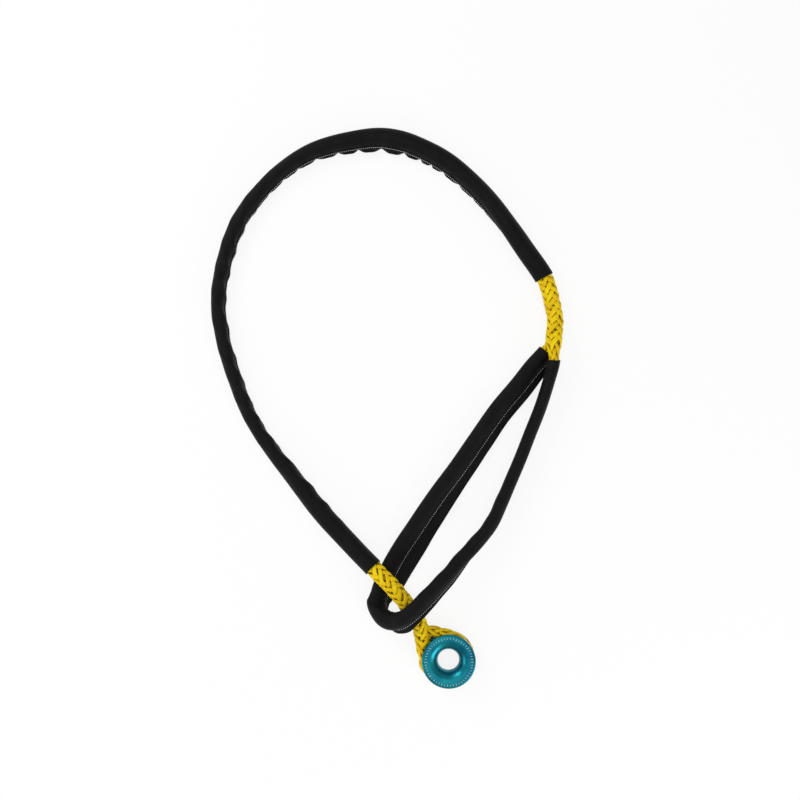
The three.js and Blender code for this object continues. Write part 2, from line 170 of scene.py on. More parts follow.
# How far the fabric of the bend hangs loose on its outer side, in mm, at a share of the eye's length
EYE_SLACK = np.array([
    [0, 0], [0.452, 0], [0.466, 4], [0.482, 4.5], [0.5, 4.5], [0.515, 3], [0.53, 1], [0.56, 0], [1, 0],
])

# How the standing part's sleeve lies at a share of its length: the seam's bearing, how flat the rope
# is pressed, and the share of the seam's width that lies free.
BODY_LIE = np.array([
    [0, -70, 0.2, 0.2], [0.12, -60, 0.2, 0.2], [0.17, -50, 0, 0.25], [0.21, -40, -0.4, 0.3],
    [0.33, -30, -0.35, 0.4], [0.38, -25, -0.5, 0.4], [0.43, -20, -0.3, 0.45], [0.5, -12, 0, 0.6],
    [0.56, -2, 0, 0.8], [0.61, 0, 0, 0.95], [0.64, 0, 0.1, 1.1], [0.665, 0, 0.2, 1.3], [0.685, 0, 0.3, 1.6],
    [0.717, 0, 0.3, 1.7], [0.742, 0, 0, 1.2], [0.77, 0, -0.1, 1], [0.79, 0, -0.2, 1],
    [0.82, -2, -0.3, 0.8], [0.85, -12, -0.4, 0.6], [0.88, -50, -0.4, 0.25], [0.92, -70, -0.2, 0.1],
    [1, -70, 0, 0.1],
])

# Where the gathered seam of the standing part bulges out, in mm along its rope
LOBE_CRESTS = (724, 750, 776, 810, 840, 868, 908, 938, 958, 973, 998, 1031, 1052, 1075)


def smoothstep(value, low, high):
    t = np.clip((value - low) / (high - low), 0, 1)
    return t * t * (3 - 2 * t)


def lerp(a, b, t):
    return a + (b - a) * t


def unit(v):
    return v / np.linalg.norm(v, axis=-1, keepdims=True)


def soft_table(table, share, column, reach=0.008):
    """Reads a table at shares, with its corners rounded off."""
    offsets = np.linspace(-reach, reach, 9)
    reads = [np.interp(share + o, table[:, 0], table[:, column]) for o in offsets]
    return np.mean(reads, axis=0)


class Route:
    """A centripetal curve through points, read by the distance along it."""

    def __init__(self, points, per_span=32):
        p = np.array(points, float)
        p = np.vstack([2 * p[0] - p[1], p, 2 * p[-1] - p[-2]])
        t = np.linspace(0, 1, per_span, endpoint=False)[:, None]
        rows = []
        for a, b, c, d in zip(p, p[1:], p[2:], p[3:]):
            before, here, after = (math.sqrt(np.linalg.norm(y - x)) for x, y in ((a, b), (b, c), (c, d)))
            start = ((b - a) / before - (c - a) / (before + here) + (c - b) / here) * here
            end = ((c - b) / here - (d - b) / (here + after) + (d - c) / after) * here
            square = 3 * (c - b) - 2 * start - end
            cube = 2 * (b - c) + start + end
            rows.append(b + start * t + square * t**2 + cube * t**3)
        self.line = np.vstack([*rows, p[-2:-1]])
        self.marks = np.concatenate([[0], np.cumsum(np.linalg.norm(np.diff(self.line, axis=0), axis=1))])
        self.length = self.marks[-1]

    def point(self, distance):
        return np.stack([np.interp(distance, self.marks, self.line[:, i]) for i in range(3)], axis=-1)

    def stations(self, distance):
        """Points, and the directions across the route: to the right of travel, and up."""
        distance = np.asarray(distance, float)
        near = np.clip(distance - 2 * MM, 0, self.length)
        far = np.clip(distance + 2 * MM, 0, self.length)
        along = unit(self.point(far) - self.point(near))
        right = unit(np.cross(along, UP))
        return self.point(distance), right, np.cross(right, along)


def across(stations, along_axis, off_axis, turn):
    """Places in the sections at stations. The section's first axis is turned from the right by turn."""
    point, right, top = stations
    x = along_axis * np.cos(turn) - off_axis * np.sin(turn)
    y = along_axis * np.sin(turn) + off_axis * np.cos(turn)
    return point + right * x[..., None] + top * y[..., None]


def steps(*marks):
    """Distances from mark to mark, given as (distance, step to the next mark), and the last distance."""
    parts = []
    for (start, step), (end, _) in zip(marks, marks[1:]):
        count = max(1, round((end - start) / step))
        parts.append(np.linspace(start, end, count, endpoint=False))
    return np.concatenate([*parts, [marks[-1][0]]])


def new_object(name, verts, faces, material, body="sling"):
    mesh = bpy.data.meshes.new(name)
    mesh.from_pydata(np.asarray(verts).reshape(-1, 3).tolist(), [], faces)
    mesh.materials.append(material)
    mesh.update()
    mesh.shade_smooth()
    obj = bpy.data.objects.new(name, mesh)
    scene.collection.objects.link(obj)
    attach(obj, body)
    return obj


def finished(shape, name, material, body="sling"):
    """Turns a bmesh into a piece that rides on a body."""
    mesh = bpy.data.meshes.new(name)
    shape.to_mesh(mesh)
    shape.free()
    mesh.materials.append(material)
    mesh.shade_smooth()
    obj = bpy.data.objects.new(name, mesh)
    scene.collection.objects.link(obj)
    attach(obj, body)
    return obj


def tube_faces(tubes, rings, sides):
    """Quads over tubes of rings of points, and a cap on each end."""
    faces = []
    for tube in range(tubes):
        base = tube * rings * sides
        for ring in range(rings - 1):
            near = base + ring * sides
            far = near + sides
            for i in range(sides):
                j = (i + 1) % sides
                faces.append((near + i, near + j, far + j, far + i))
        faces.append(tuple(base + i for i in reversed(range(sides))))
        faces.append(tuple(base + (rings - 1) * sides + i for i in range(sides)))
    return faces


def float_attribute(obj, name, values):
    layer = obj.data.attributes.new(name, "FLOAT", "POINT")
    layer.data.foreach_set("value", np.asarray(values, np.float32).ravel())


def vertex_uv_map(obj, name, along, aside):
    """A UV map in which every corner takes the two values of its vertex."""
    layer = obj.data.uv_layers.new(name=name)
    index = np.zeros(len(obj.data.loops), np.int32)
    obj.data.loops.foreach_get("vertex_index", index)
    layer.data.foreach_set("uv", np.stack([along[index], aside[index]], -1).astype(np.float32).ravel())


def linear(code):
    """An sRGB colour code as a linear colour."""
    channels = [int(code[i : i + 2], 16) / 255 for i in (1, 3, 5)]
    return (*[c / 12.92 if c <= 0.04045 else ((c + 0.055) / 1.055) ** 2.4 for c in channels], 1)


def add_node(tree, kind, inputs=(), **settings):
    """Adds a node, sets it up, and links or sets its inputs, given by name or number."""
    node = tree.nodes.new(kind)
    for key, value in settings.items():
        setattr(node, key, value)
    for key, value in dict(inputs).items():
        if isinstance(value, bpy.types.NodeSocket):
            tree.links.new(value, node.inputs[key])
        else:
            node.inputs[key].default_value = value
    return node


def new_material(name):
    material = bpy.data.materials.new(name)
    material.use_nodes = True
    return material, material.node_tree, material.node_tree.nodes["Principled BSDF"]


def rope_material():
    """Coated polyethylene yarn: bright filaments that streak along each strand, and brown painted shade in the
    gaps.
    """
    material, tree, shader = new_material("coated_rope_yarn")
    strand = add_node(tree, "ShaderNodeUVMap", uv_map="strand")
    streaks = add_node(tree, "ShaderNodeMapping", {"Vector": strand.outputs[0], "Scale": (60, 9, 1)})
    fibre = add_node(tree, "ShaderNodeTexNoise", {"Vector": streaks.outputs[0], "Scale": 1.0, "Detail": 4.0})
    colour = add_node(tree, "ShaderNodeValToRGB", {0: fibre.outputs[0]})
    colour.color_ramp.elements[0].position, colour.color_ramp.elements[0].color = 0.3, linear("#e4b800")
    colour.color_ramp.elements[1].position, colour.color_ramp.elements[1].color = 0.66, linear("#ffe800")
    tint = add_node(tree, "ShaderNodeAttribute", attribute_name="tint")
    shades = {0: tint.outputs["Fac"], 6: colour.outputs[0], 7: linear("#d69c00")}
    shade = add_node(tree, "ShaderNodeMix", shades, data_type="RGBA")
    # Deeper yarn, in the gaps and under crossing strands, is mixed towards dark brown: painted shade on top of
    # the real shadow there.
    depth = add_node(tree, "ShaderNodeAttribute", attribute_name="depth")
    deep = add_node(
        tree, "ShaderNodeMapRange", {0: depth.outputs["Fac"], 1: 0.34, 2: 0.8, 3: 0.0, 4: 1.0}, clamp=True
    )
    painted_gap_shade = add_node(
        tree, "ShaderNodeMix", {0: deep.outputs[0], 6: shade.outputs[2], 7: linear("#4a2a00")}, data_type="RGBA"
    )
    filaments = add_node(tree, "ShaderNodeMapping", {"Vector": strand.outputs[0], "Scale": (90, 34, 1)})
    grain = add_node(tree, "ShaderNodeTexNoise", {"Vector": filaments.outputs[0], "Scale": 1.0, "Detail": 3.0})
    bump = add_node(tree, "ShaderNodeBump", {"Height": grain.outputs[0], "Distance": 0.0005, "Strength": 0.8})
    tree.links.new(painted_gap_shade.outputs[2], shader.inputs["Base Color"])
    tree.links.new(bump.outputs[0], shader.inputs["Normal"])
    shader.inputs["Roughness"].default_value = 0.55
    shader.inputs["Specular IOR Level"].default_value = 0.2
    return material


def fabric_material():
    """Woven nylon: an over and under weave that catches the light a little along folds. The weave
    is drawn at 1 mm, about twice as coarse as the real one, so that it shows at this size."""
    material, tree, shader = new_material("woven_nylon")
    cloth = add_node(tree, "ShaderNodeUVMap", uv_map="cloth")
    wefts = add_node(tree, "ShaderNodeTexWave", {"Vector": cloth.outputs[0], "Scale": 320.0}, bands_direction="X")
    warps = add_node(tree, "ShaderNodeTexWave", {"Vector": cloth.outputs[0], "Scale": 320.0}, bands_direction="Y")
    weave = add_node(tree, "ShaderNodeMath", {0: wefts.outputs[1], 1: warps.outputs[1]}, operation="MULTIPLY")
    wear = add_node(tree, "ShaderNodeTexNoise", {"Vector": cloth.outputs[0], "Scale": 60.0, "Detail": 5.0})
    colour = add_node(tree, "ShaderNodeValToRGB", {0: wear.outputs[0]})
    colour.color_ramp.elements[0].position, colour.color_ramp.elements[0].color = 0.35, linear("#040405")
    colour.color_ramp.elements[1].position, colour.color_ramp.elements[1].color = 0.75, linear("#0d0d0f")
    bump = add_node(tree, "ShaderNodeBump", {"Height": weave.outputs[0], "Distance": 0.0002, "Strength": 0.5})
    tree.links.new(colour.outputs[0], shader.inputs["Base Color"])
    tree.links.new(bump.outputs[0], shader.inputs["Normal"])
    shader.inputs["Roughness"].default_value = 0.6
    shader.inputs["Specular IOR Level"].default_value = 0.13
    shader.inputs["Sheen Weight"].default_value = 0.05
    shader.inputs["Sheen Roughness"].default_value = 0.4
    return material


def thread_material(name, code):
    """Twisted polyester thread: a slanting ply that breaks its shine into short steps."""
    material, tree, shader = new_material(name)
    place = add_node(tree, "ShaderNodeTexCoord")
    ply = add_node(
        tree, "ShaderNodeTexWave", {"Vector": place.outputs["Object"], "Scale": 700.0}, bands_direction="DIAGONAL"
    )
    bump = add_node(tree, "ShaderNodeBump", {"Height": ply.outputs[1], "Distance": 0.0001, "Strength": 0.6})
    tree.links.new(bump.outputs[0], shader.inputs["Normal"])
    shader.inputs["Base Color"].default_value = linear(code)
    shader.inputs["Roughness"].default_value = 0.6
    return material


def aluminium_material():
    """Anodised aluminium: a dyed metal film over lathe lines, a little blotchy in its colour. The
    lines are drawn 0.6 mm apart, coarser than a real fine cut."""
    material, tree, shader = new_material("anodised_aluminium")
    place = add_node(tree, "ShaderNodeTexCoord")
    blotch = add_node(
        tree, "ShaderNodeTexNoise", {"Vector": place.outputs["Object"], "Scale": 45.0, "Detail": 3.0}
    )
    colour = add_node(tree, "ShaderNodeValToRGB", {0: blotch.outputs[0]})
    colour.color_ramp.elements[0].position, colour.color_ramp.elements[0].color = 0.3, linear("#14647e")
    colour.color_ramp.elements[1].position, colour.color_ramp.elements[1].color = 0.75, linear("#219097")
    centred = add_node(
        tree, "ShaderNodeMapping", {"Vector": place.outputs["Object"], "Location": tuple(-RING_CENTRE)}
    )
    lathe = add_node(
        tree, "ShaderNodeTexWave", {"Vector": centred.outputs[0], "Scale": 500.0, "Distortion": 1.0},
        wave_type="RINGS", rings_direction="Z",
    )
    bump = add_node(tree, "ShaderNodeBump", {"Height": lathe.outputs[1], "Distance": 0.00003, "Strength": 0.15})
    tree.links.new(colour.outputs[0], shader.inputs["Base Color"])
    tree.links.new(bump.outputs[0], shader.inputs["Normal"])
    shader.inputs["Metallic"].default_value = 1
    shader.inputs["Roughness"].default_value = 0.36
    return material


def engraved_material():
    """Bare aluminium where a laser has burnt the dyed film off: pale, grainy and dull."""
    material, tree, shader = new_material("laser_marked_aluminium")
    place = add_node(tree, "ShaderNodeTexCoord")
    grain = add_node(
        tree, "ShaderNodeTexNoise", {"Vector": place.outputs["Object"], "Scale": 900.0, "Detail": 2.0}
    )
    colour = add_node(tree, "ShaderNodeValToRGB", {0: grain.outputs[0]})
    colour.color_ramp.elements[0].color = linear("#9cc4cd")
    colour.color_ramp.elements[1].color = linear("#e4eff0")
    tree.links.new(colour.outputs[0], shader.inputs["Base Color"])
    shader.inputs["Metallic"].default_value = 0.6
    shader.inputs["Roughness"].default_value = 0.55
    return material


ROPE_YARN = rope_material()
WOVEN = fabric_material()
SEAM_THREAD = thread_material("seam_thread", "#c4c4c6")
LOCK_THREAD = thread_material("lock_thread", "#eadfd2")
ALUMINIUM = aluminium_material()
ENGRAVED = engraved_material()


def pitch_at(radius):
    """A braid that opens round a tail shortens its pitch."""
    return lerp(CLOSED_PITCH, OPEN_PITCH, (radius - ROPE_RADIUS) / (SPLICED_RADIUS - ROPE_RADIUS))


def phase_along(distance, radius):
    """How far the strands have turned at each distance, in radians from the first."""
    rate = TURN / pitch_at(radius)
    return np.concatenate([[0], np.cumsum((rate[1:] + rate[:-1]) / 2 * np.diff(distance))])


def strand_outline(sides):
    """A strand's section, two units wide and two thick: a soft box with three yarns on each face."""
    angle = np.arange(sides) / sides * TURN
    box = (np.abs(np.cos(angle)) ** 2.1 + np.abs(np.sin(angle)) ** 2.1) ** (-1 / 2.1)
    wide, thick = box * np.cos(angle), box * np.sin(angle)
    return wide, thick * (0.93 + 0.07 * np.cos(3 * math.pi * wide))


def braid(name, stations, distance, radius, phase, long_scale=1, short_scale=1, turn=0, sides=14, fineness=1):
    """A hollow braid of twelve strands, each over two and under two of those that turn the other way.
    radius, phase, the oval's two scales and its turn are given at each station, and so may fineness
    be, which makes every strand thinner."""
    point, right, top = stations
    angles = STRANDS_EACH_WAY * phase
    tubes, depths, tints = [], [], []
    wide, thick = strand_outline(sides)
    for way in (1, -1):
        for k in range(STRANDS_EACH_WAY):
            theta = TURN * k / STRANDS_EACH_WAY + way * phase
            weave = math.pi * k + way * angles / 2 - math.pi / 4
            over = way * math.sqrt(2) * np.cos(weave)
            over = np.clip(over * 1.1, -1, 1) * 0.6 + over * 0.4
            mean = radius - STRAND_HALF_THICKNESS * fineness
            slope = np.arctan(TURN * mean / pitch_at(radius))
            width = TURN * mean / STRANDS_EACH_WAY * np.cos(slope) * STRAND_FILL
            bulge = 0.1 * np.sin(distance * 310 + k * 2.1 + way)
            squeeze = 0.06 * np.sin(distance * 130 - k * 3.3)
            width = width * (1 + bulge + squeeze)
            height = STRAND_AREA * fineness**2 / width / SECTION_FILL
            lift = height * 0.46 * over + 0.45 * MM * fineness * np.sin(distance * 170 + k * 1.7 - way)
            theta = theta + 0.09 * np.sin(distance * 120 + k * 2.9 + way * 0.7)
            line = radius - height + lift
            local_x, local_y = line * np.cos(theta - turn), line * np.sin(theta - turn)
            centre = across(stations, local_x * long_scale, local_y * short_scale, turn)
            out = unit(across((0 * point, right, top), local_x / long_scale, local_y / short_scale, turn))
            along = unit(np.gradient(centre, axis=0))
            side = unit(np.cross(along, out))
            out = np.cross(side, along)
            section = (
                centre[:, None]
                + side[:, None] * (width[:, None] / 2 * wide)[..., None]
                + out[:, None] * (height[:, None] / 2 * thick)[..., None]
            )
            tubes.append(section)
            # How deep each point lies below the braid's outer surface; the yarn material turns this into painted
            # shade in the gaps.
            outward = (line[:, None] + height[:, None] / 2 * thick) / radius[:, None]
            depths.append(np.clip((1 - outward) * radius[:, None] / (6 * MM), 0, 1))
            tints.append(np.full(section.shape[:2], 0.5 + 0.5 * math.sin(k * 2.4 + way * 1.3)) * 0.4)
    obj = new_object(name, tubes, tube_faces(2 * STRANDS_EACH_WAY, len(distance), sides), ROPE_YARN)
    float_attribute(obj, "depth", depths)
    float_attribute(obj, "tint", tints)
    grid = (2 * STRANDS_EACH_WAY, len(distance), sides)
    strand_offset = np.arange(grid[0])[:, None, None] * STRAND_UV_STEP
    along_uv = np.asarray(distance)[None, :, None] + strand_offset
    vertex_uv_map(obj, "strand", np.broadcast_to(along_uv, grid).ravel(), np.broadcast_to(wide, grid).ravel())
    return obj


def cord_path(route, step=5 * MM):
    return route.point(np.linspace(0, route.length, max(2, round(route.length / step)))).tolist()


# The ring's throat, and the route of the rope through it
throat_direction = np.array([math.cos(THROAT_BEARING), math.sin(THROAT_BEARING), 0])
throat_side = np.cross(throat_direction, UP)
ring_throat = RING_CENTRE + throat_direction * THROAT_REACH
standing = Route([ring_throat.tolist(), *STANDING_ROUTE])
eye = Route(EYE_ROUTE)


def beside_ring(along, aside, rise=0):
    return (RING_CENTRE + throat_direction * along + throat_side * aside + UP * rise).tolist()


def ring_route():
    """From inside the splice, out beside the throat, round the groove, and back to the throat's middle."""
    offset, reach = SPLICED_RADIUS / 2, THROAT_REACH
    leaves = math.acos(ROPE_LINE_RADIUS / math.hypot(reach, offset)) + math.atan(offset / reach)
    meets = math.radians(62)
    wrap = []
    for angle in np.linspace(meets, TURN - leaves, 19):
        seated = smoothstep(min(angle - meets, TURN - leaves - angle), 0, SEATING_ANGLE)
        radius = lerp(ROPE_LINE_RADIUS, SEATED_LINE_RADIUS, seated)
        wrap.append(beside_ring(radius * math.cos(angle), radius * math.sin(angle)))
    inside = standing.point(np.array([26 * MM, 18 * MM])).tolist()
    return Route([*inside, *RING_LEG, *wrap, ring_throat.tolist()])


ring_eye = ring_route()


def standing_radius(distance):
    ring = smoothstep(RING_BURY - distance, 0, RING_TAPER)
    eye_share = smoothstep(EYE_BURY - (standing.length - distance), 0, EYE_TAPER)
    return lerp(ROPE_RADIUS, SPLICED_RADIUS, np.maximum(ring, eye_share))


body_sleeve_end = standing.length - BARE_AT_EYE
standing_marks = steps(
    (0, OPEN_STEP), (BARE_AT_RING + INTO_SLEEVE, HIDDEN_STEP),
    (body_sleeve_end - INTO_SLEEVE, OPEN_STEP), (standing.length, 0),
)
standing_radii = standing_radius(standing_marks)
standing_phase = phase_along(standing_marks, standing_radii)
standing_flat = FLATTENING ** soft_table(BODY_LIE, standing_marks / standing.length, 2)
sleeved = smoothstep(standing_marks, BARE_AT_RING - PRESSED_OUTSIDE, BARE_AT_RING + PRESSED_INSIDE)
past_sleeve = smoothstep(standing_marks, body_sleeve_end - PRESSED_INSIDE, body_sleeve_end + PRESSED_OUTSIDE)
sleeved = sleeved * (1 - past_sleeve)
standing_flat = standing_flat**sleeved
standing_rope = braid(
    "rope_standing_part", standing.stations(standing_marks), standing_marks, standing_radii, standing_phase,
    standing_flat, 1 / standing_flat, np.radians(soft_table(BODY_LIE, standing_marks / standing.length, 1)),
)
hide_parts("standing_rope")
cord_path(standing)

# Round the ring: the leg that goes in is thin, the leg that carries on opens out to the splice
ring_marks = steps((0, 2 * MM), (ring_eye.length, 0))
ring_radii = lerp(ROPE_RADIUS, SPLICED_RADIUS, smoothstep(ring_marks, ring_eye.length - 26 * MM, ring_eye.length))
ring_radii = ring_radii * lerp(0.85, 1, smoothstep(ring_marks, 0, 24 * MM))
ring_depth = np.linalg.norm(ring_eye.point(ring_marks) - RING_CENTRE, axis=1)
ring_seated = np.clip((ROPE_LINE_RADIUS - ring_depth) / (ROPE_LINE_RADIUS - SEATED_LINE_RADIUS), 0, 1)
ring_phase = phase_along(ring_marks, ring_radii)
ring_rope = braid(
    "rope_round_ring", ring_eye.stations(ring_marks), ring_marks, ring_radii, ring_phase - ring_phase[-1],
    lerp(1, SEATED_HALF_WIDTH / ROPE_RADIUS, ring_seated), lerp(1, SEATED_HALF_HEIGHT / ROPE_RADIUS, ring_seated),
)
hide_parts("ring_eye")
cord_path(ring_eye)


def eye_lie(distance):
    """The seam's bearing and the rope's oval at distances from the eye's throat, in radians and scales."""
    share = 1 - distance / eye_cad_length
    flat = FLATTENING ** soft_table(EYE_LIE, share, 2)
    bearing = math.pi - np.radians(soft_table(EYE_LIE, share, 1))
    return bearing, flat, soft_table(EYE_LIE, share, 3) * EYE_SEAM


eye_cad_length = eye.length - 15 * MM
eye_marks = steps(
    (0, OPEN_STEP), (NARROW_MOUTH + INTO_SLEEVE, HIDDEN_STEP), (eye.length - WIDE_MOUTH - 27 * MM, 2.2 * MM), (eye.length, 0)
)
eye_radii = lerp(SPLICED_RADIUS, ROPE_RADIUS, smoothstep(eye_marks, 0, 24 * MM))
eye_radii = eye_radii * lerp(1, 0.85, smoothstep(eye_marks, eye.length - 24 * MM, eye.length))
eye_phase = phase_along(eye_marks, eye_radii) + standing_phase[-1]
eye_turn, eye_flat, _ = eye_lie(eye_marks)
from_throat = smoothstep(eye_marks, 0, 20 * MM)
eye_flat = eye_flat**from_throat
eye_rope = braid(
    "rope_round_eye", eye.stations(eye_marks), eye_marks, eye_radii, eye_phase,
    eye_flat, 1 / eye_flat, eye_turn,
)
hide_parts("eye_rope")
cord_path(eye)


def buried_tail(name, node, start, end):
    """A tail inside the hollow braid, as it shows through the gaps."""
    marks = steps((start, 5 * MM), (end, 0))
    radii = standing_radius(marks) - BRAID_WALL
    phase = phase_along(marks, radii + BRAID_WALL)
    tail = braid(name, standing.stations(marks), marks, radii, phase, sides=8, fineness=radii / ROPE_RADIUS)
    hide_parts(node)


buried_tail("tail_of_ring_splice", "ring_splice_tail", RING_TAIL_INSET, RING_BURY - TAIL_POINT)
eye_tail_point = standing.length - EYE_BURY + TAIL_POINT
buried_tail("tail_of_eye_splice", "eye_splice_tail", eye_tail_point, standing.length - EYE_TAIL_INSET)


def flange(lie, offset, height):
    """Places on a seam's flange, at an offset out from its root and a height off its middle.
    The flange swings from its root by the lie's swing, more towards its edge."""
    bend = lie["swing"] * np.clip(offset / np.maximum(lie["width"], 1 * MM), 0, 1) ** 0.6
    x = lie["root"] + offset * np.cos(bend) - height * np.sin(bend)
    y = offset * np.sin(bend) + height * np.cos(bend)
    return x, y


def sleeve(name, lie, ripple, node):
    """A strip of fabric wrapped round the rope and sewn near its two edges.
    ripple gives how far the fabric stands off at each station and bearing from the seam."""
    stations = tuple(a[:, None] for a in lie["stations"])
    columns = {k: lie[k][:, None] for k in ("long", "short", "root", "width", "swing")}
    layer = FABRIC * 0.52
    root = np.arcsin(np.clip(layer / columns["short"], 0, 0.5))
    out = np.linspace(1, 0, 6, endpoint=False)[None, :]
    upper = flange(columns, out * columns["width"], layer)
    lower = flange(columns, out[:, ::-1] * columns["width"], -layer)
    share = np.linspace(0, 1, 34)[None, :]
    angle = root + (TURN - 2 * root) * share
    stand = ripple(lie["distance"][:, None], angle)
    oval_x = (columns["long"] + stand) * np.cos(angle)
    oval_y = (columns["short"] + stand) * np.sin(angle)
    x = np.concatenate([upper[0], oval_x, lower[0]], axis=1)
    y = np.concatenate([upper[1], oval_y, lower[1]], axis=1)
    verts = across(stations, x, y, lie["turn"][:, None])
    rings, count = verts.shape[:2]
    faces = [
        (r * count + i, r * count + i + 1, (r + 1) * count + i + 1, (r + 1) * count + i)
        for r in range(rings - 1)
        for i in range(count - 1)
    ]
    obj = new_object(name, verts, faces, WOVEN)
    along_uv = np.repeat(lie["distance"], count)
    round_uv = np.concatenate(
        [np.zeros((rings, 1)), np.cumsum(np.linalg.norm(np.diff(verts, axis=1), axis=2), axis=1)], axis=1
    ).ravel()
    vertex_uv_map(obj, "cloth", along_uv, round_uv)
    thicken = obj.modifiers.new("thickness", "SOLIDIFY")
    thicken.thickness, thicken.offset = FABRIC, 0
    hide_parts(node)
    return obj


def stitch_shape():
    """One stitch, a unit long along X and a unit thick: its corners and its faces."""
    shape = bmesh.new()
    bmesh.ops.create_uvsphere(shape, u_segments=8, v_segments=5, radius=0.5)
    bmesh.ops.rotate(shape, verts=shape.verts, cent=(0, 0, 0), matrix=Matrix.Rotation(TURN / 4, 3, "Y"))
    corners = np.array([v.co[:] for v in shape.verts])
    faces = [[v.index for v in face.verts] for face in shape.faces]
    shape.free()
    return corners, faces


def stitches(name, lie, face, node):
    """Short stitches in a row beside the seam's root, on one face of it."""
    first, last = lie["distance"][0] + 2 * MM, lie["distance"][-1] - 2 * MM
    middles = np.arange(first, last, STITCH_PITCH)
    ends = []
    for offset in (-STITCH_LENGTH / 2, STITCH_LENGTH / 2):
        distance = middles + offset
        read = {k: np.interp(distance, lie["distance"], lie[k]) for k in ("root", "width", "swing", "turn")}
        x, y = flange(read, STITCH_INSET, face * FABRIC * 1.05)
        ends.append(across(lie["route"].stations(distance), x, y, read["turn"]))
    corners, faces = stitch_shape()
    along = (ends[1] - ends[0])[:, None]
    side = unit(np.cross(along, UP)) * STITCH_THICKNESS
    rise = unit(np.cross(side, along)) * STITCH_THICKNESS
    middle = (ends[0] + ends[1])[:, None] / 2
    verts = middle + corners[:, :1] * along - corners[:, 1:2] * side + corners[:, 2:] * rise
    starts = range(0, len(middles) * len(corners), len(corners))
    copies = [[start + corner for corner in face_corners] for start in starts for face_corners in faces]
    obj = new_object(name, verts, copies, SEAM_THREAD)
    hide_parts(node)
    return obj


def lobe(distance):
    """The gathered seam of the standing part: 1 on a crest, near 0 in the sharp notch between two."""
    crests = np.array(LOBE_CRESTS) * MM
    before, after = np.minimum(distance - crests[0], 0), np.maximum(distance - crests[-1], 0)
    cycles = np.interp(distance, crests, np.arange(len(crests))) + (before + after) / LOBE_PITCH
    return lerp(0.05, 1, np.abs(np.cos(math.pi * cycles)) ** 0.9)


def body_lie():
    distance = steps((BARE_AT_RING, 2.4 * MM), (0.55 * standing.length, 1.6 * MM), (body_sleeve_end, 0))
    share = distance / standing.length
    half = standing_radius(distance)
    flat = FLATTENING ** soft_table(BODY_LIE, share, 2)
    width = soft_table(BODY_LIE, share, 3)
    outset = SLEEVE_GAP + FABRIC / 2
    return {
        "route": standing, "distance": distance, "stations": standing.stations(distance),
        "turn": np.radians(soft_table(BODY_LIE, share, 1)),
        "long": half * flat + outset, "short": half / flat + outset,
        "width": width * BODY_SEAM, "swing": -np.arccos(lobe(distance)) * np.minimum(width, 1),
    }


def body_ripple(distance, angle):
    """Lobes beside the gathered seam on the upper arc, slanting creases on the left, slow waves all over."""
    share = distance / standing.length
    near_seam = (0.5 + 0.5 * np.cos(angle)) ** 1.5
    gathered = smoothstep(share, 0.56, 0.66) * (1 - smoothstep(share, 0.74, 0.84))
    lobes = (LOBE_BASE + LOBE_RISE * lobe(distance)) * near_seam * gathered
    slant = distance / CREASE_PITCH - CREASE_SLANT * angle + 0.16 * np.sin(distance * 31)
    creased = smoothstep(share, 0.13, 0.2) * (1 - smoothstep(share, 0.5, 0.62))
    facing = (0.5 + 0.5 * np.cos(angle - 0.9)) ** 0.7
    creases = CREASE_RISE * (0.5 + 0.5 * np.cos(TURN * slant)) ** 2.5 * facing * creased
    slow = BODY_WAVE_RISE * np.sin(distance * 61 + 2 * angle) * np.sin(distance * 17 - angle)
    return MM * (0.1 + lobes + creases + slow)


def sleeve_lie_of_eye():
    bend_from, bend_to = 0.43 * eye_cad_length, 0.57 * eye_cad_length
    distance = steps(
        (NARROW_MOUTH, 2.4 * MM), (bend_from, 1.2 * MM), (bend_to, 2.4 * MM), (eye_cad_length - WIDE_MOUTH, 0)
    )
    bearing, flat, width = eye_lie(distance)
    outset = SLEEVE_GAP + FABRIC / 2
    return {
        "route": eye, "distance": distance, "stations": eye.stations(distance), "turn": bearing,
        "long": ROPE_RADIUS * flat + outset, "short": ROPE_RADIUS / flat + outset,
        "width": width, "swing": 0.12 * np.sin(distance * 70),
    }


def eye_ripple(distance, angle):
    """The bend's loose outer side, the fold across its top, its inner wrinkles, and waves on the upper leg."""
    share = 1 - distance / eye_cad_length
    bearing = angle + eye_lie(distance)[0]
    inner, upper = np.cos(bearing), np.sin(bearing)
    slack = np.interp(share, EYE_SLACK[:, 0], EYE_SLACK[:, 1]) * (0.5 - 0.5 * inner) ** 1.5
    past_fold = (share - 0.476 - 0.014 * inner) * eye_cad_length / MM
    fold = np.where(past_fold > 0, np.exp(-past_fold / FOLD_BACK), np.exp(past_fold / FOLD_FRONT))
    fold = FOLD_RISE * fold * (0.5 + 0.5 * upper)
    bent = smoothstep(share, 0.45, 0.465) * (1 - smoothstep(share, 0.51, 0.53))
    wrinkled = 0.5 + 0.5 * np.cos(distance / MM * TURN / WRINKLE_PITCH)
    wrinkles = WRINKLE_RISE * bent * np.clip(inner, 0, 1) ** 2 * wrinkled
    on_upper_leg = smoothstep(share, 0.53, 0.56) * (1 - smoothstep(share, 0.72, 0.8))
    waved = 0.5 + 0.5 * np.cos(distance / MM * TURN / LEG_WAVE_PITCH)
    waves = LEG_WAVE_RISE * on_upper_leg * np.clip(inner, 0, 1) * waved
    slow = EYE_WAVE_RISE * np.sin(distance * 53 + angle) * np.sin(distance * 19 - 2 * angle)
    return MM * (0.15 + slack + fold + wrinkles + waves + slow)


